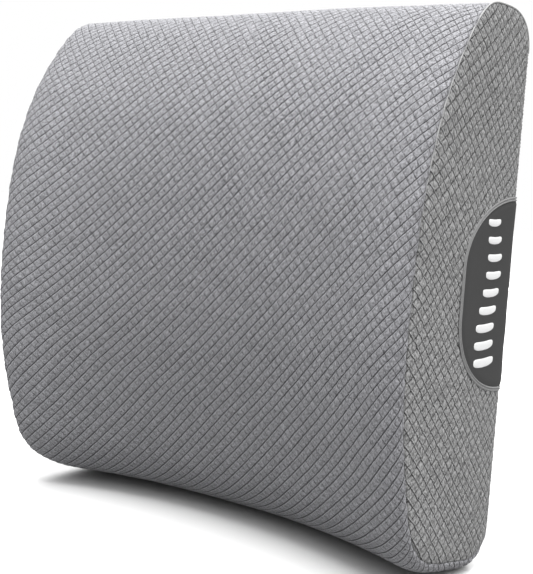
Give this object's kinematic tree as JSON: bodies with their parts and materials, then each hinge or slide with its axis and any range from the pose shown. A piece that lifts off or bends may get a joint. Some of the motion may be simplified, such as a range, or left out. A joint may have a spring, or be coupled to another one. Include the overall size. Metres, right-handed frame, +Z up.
{
  "type": "lumbar support cushion",
  "caption": "Upright foam lumbar cushion with a crowned, side-to-side hollow front, flat sides, a zipped cover, and an elastic strap with a side-release buckle on its flat back.",
  "frame": {"origin": "the middle of the flat back's lower edge line: on the back plane, the centre plane and the surface that the cushion stands on", "axes": "+Z up as used on a chair, +X across the width towards the side with the label, +Y out of the flat back towards the chair, so the front faces -Y"},
  "size_m": [0.3212, 0.1413, 0.336],
  "materials": {
    "foam": "matte",
    "liner_cloth": "matte",
    "quilted_knit": "matte",
    "side_knit": "matte",
    "back_mesh": "matte",
    "label_cloth": "matte",
    "label_edging": "matte",
    "zip_tape": "matte",
    "zip_coil": "satin",
    "zip_metal": "satin",
    "strap_webbing": "matte",
    "strap_elastic": "matte",
    "buckle_plastic": "satin",
    "care_satin": "satin"
  },
  "bodies": {
    "cushion": {"foam_core": "foam", "inner_liner": "liner_cloth", "front_panel": "quilted_knit", "side_gusset_left": "side_knit", "side_gusset_right": "side_knit", "back_panel_upper": "back_mesh", "back_panel_lower": "back_mesh", "side_label": "label_cloth", "label_border": "label_edging", "zip_tape_upper": "zip_tape", "zip_tape_lower": "zip_tape", "zip_coil_upper": "zip_coil", "zip_coil_lower": "zip_coil", "zip_stops": "zip_metal", "strap_short": "strap_webbing", "strap_long": "strap_elastic", "buckle_female": "buckle_plastic", "care_label": "care_satin"},
    "zip_slider": {"zip_slider": "zip_metal"},
    "zip_pull": {"zip_pull": "zip_metal"},
    "buckle_male": {"buckle_male": "buckle_plastic", "buckle_prongs": "buckle_plastic"},
    "strap_tail": {"strap_tail": "strap_elastic"}
  },
  "joints": [
    {"name": "zip_slide", "type": "slide", "parent": "cushion", "child": "zip_slider", "axis": [-1, 0, 0], "range_m": [0, 0.275]},
    {"name": "zip_pull_swing", "type": "hinge", "parent": "zip_slider", "child": "zip_pull", "pos_m": [0.138, 0.0044, 0.062], "axis": [0, 0, -1], "range_deg": [0, 170]},
    {"name": "buckle_release", "type": "slide", "parent": "cushion", "child": "buckle_male", "axis": [-1, 0, 0], "range_m": [0, 0.032], "deforming": ["strap_long", "buckle_prongs"]},
    {"name": "strap_adjust", "type": "slide", "parent": "buckle_male", "child": "strap_tail", "axis": [-1, 0, 0], "range_m": [0, 0.04], "deforming": ["strap_tail"]}
  ]
}
